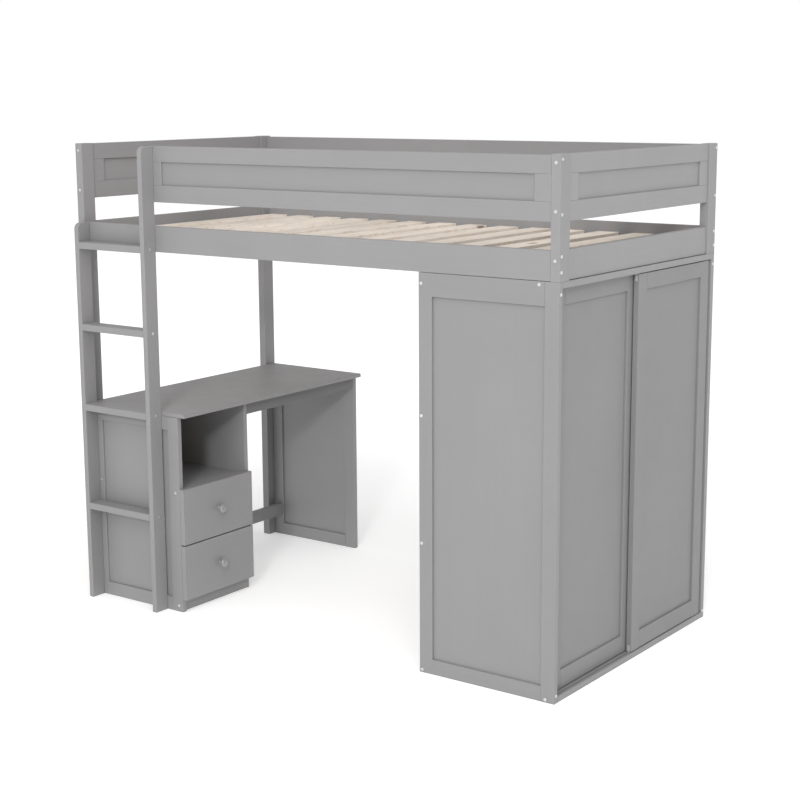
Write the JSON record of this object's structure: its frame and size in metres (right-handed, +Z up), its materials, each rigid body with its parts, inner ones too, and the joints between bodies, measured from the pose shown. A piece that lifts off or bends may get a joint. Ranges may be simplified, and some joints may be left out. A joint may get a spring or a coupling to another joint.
{
  "type": "loft bed with desk",
  "caption": "Grey painted loft bed on posts and a sliding-door wardrobe, with panelled guards, a front ladder, a slatted deck and a desk with a shelf bay and drawers below.",
  "frame": {"origin": "on the floor, at the middle of the whole object's footprint", "axes": "+X along the bed from the desk end to the wardrobe end, +Y from the ladder side to the back, +Z up"},
  "size_m": [2.023, 1.0994, 1.675],
  "materials": {
    "grey_painted_wood": "satin grey paint on wood",
    "pine_slats": "bare sanded pine",
    "plain_wood": "bare sanded wood",
    "thin_board": "smooth thin board",
    "bolt_steel": "zinc-plated, satin",
    "zinc_screws": "zinc-plated",
    "nylon": "grey matte nylon",
    "rod_chrome": "polished tube",
    "socket_plastic": "matte plastic"
  },
  "bodies": {
    "bed_frame": {"bed_rail_back": "grey_painted_wood", "bed_rail_front": "grey_painted_wood", "bed_rail_left": "grey_painted_wood", "bed_rail_right": "grey_painted_wood", "bed_slats": "pine_slats", "cabinet_back": "thin_board", "cabinet_floor": "grey_painted_wood", "cabinet_plinth": "grey_painted_wood", "cabinet_shelf": "grey_painted_wood", "cabinet_side": "grey_painted_wood", "desk_apron": "grey_painted_wood", "desk_side_back_frame": "grey_painted_wood", "desk_side_back_panel": "grey_painted_wood", "desk_side_front_frame": "grey_painted_wood", "desk_side_front_panel": "grey_painted_wood", "desk_stretcher": "grey_painted_wood", "desk_top": "grey_painted_wood", "drawer_runners": "plain_wood", "frame_bolts": "bolt_steel", "guard_back_frame": "grey_painted_wood", "guard_back_panel": "grey_painted_wood", "guard_front_frame": "grey_painted_wood", "guard_front_panel": "grey_painted_wood", "guard_left_frame": "grey_painted_wood", "guard_left_panel": "grey_painted_wood", "guard_right_frame": "grey_painted_wood", "guard_right_panel": "grey_painted_wood", "hanging_rod": "rod_chrome", "ladder_rungs": "grey_painted_wood", "ladder_upright_left": "grey_painted_wood", "ladder_upright_right": "grey_painted_wood", "post_back_left": "grey_painted_wood", "post_back_right": "grey_painted_wood", "post_front_left": "grey_painted_wood", "post_front_right": "grey_painted_wood", "rod_sockets": "socket_plastic", "slat_cleats": "grey_painted_wood", "slat_screws": "zinc_screws", "wardrobe_back": "grey_painted_wood", "wardrobe_base": "grey_painted_wood", "wardrobe_bolts": "bolt_steel", "wardrobe_side_back_frame": "grey_painted_wood", "wardrobe_side_back_panel": "grey_painted_wood", "wardrobe_side_front_frame": "grey_painted_wood", "wardrobe_side_front_panel": "grey_painted_wood", "wardrobe_top": "grey_painted_wood"},
    "near_door": {"near_door_frame": "grey_painted_wood", "near_door_glides": "nylon", "near_door_panel": "grey_painted_wood"},
    "far_door": {"far_door_frame": "grey_painted_wood", "far_door_glides": "nylon", "far_door_panel": "grey_painted_wood"},
    "upper_drawer": {"upper_drawer_box": "plain_wood", "upper_drawer_floor": "thin_board", "upper_drawer_front": "grey_painted_wood", "upper_drawer_knob": "grey_painted_wood"},
    "lower_drawer": {"lower_drawer_box": "plain_wood", "lower_drawer_floor": "thin_board", "lower_drawer_front": "grey_painted_wood", "lower_drawer_knob": "grey_painted_wood"}
  },
  "joints": [
    {"name": "near_door_slide", "type": "slide", "parent": "bed_frame", "child": "near_door", "axis": [0, 1, 0], "range_m": [0, 0.491]},
    {"name": "far_door_slide", "type": "slide", "parent": "bed_frame", "child": "far_door", "axis": [0, 1, 0], "range_m": [-0.479, 0.012]},
    {"name": "upper_drawer_slide", "type": "slide", "parent": "bed_frame", "child": "upper_drawer", "axis": [1, 0, 0], "range_m": [0, 0.28]},
    {"name": "lower_drawer_slide", "type": "slide", "parent": "bed_frame", "child": "lower_drawer", "axis": [1, 0, 0], "range_m": [0, 0.28]}
  ]
}
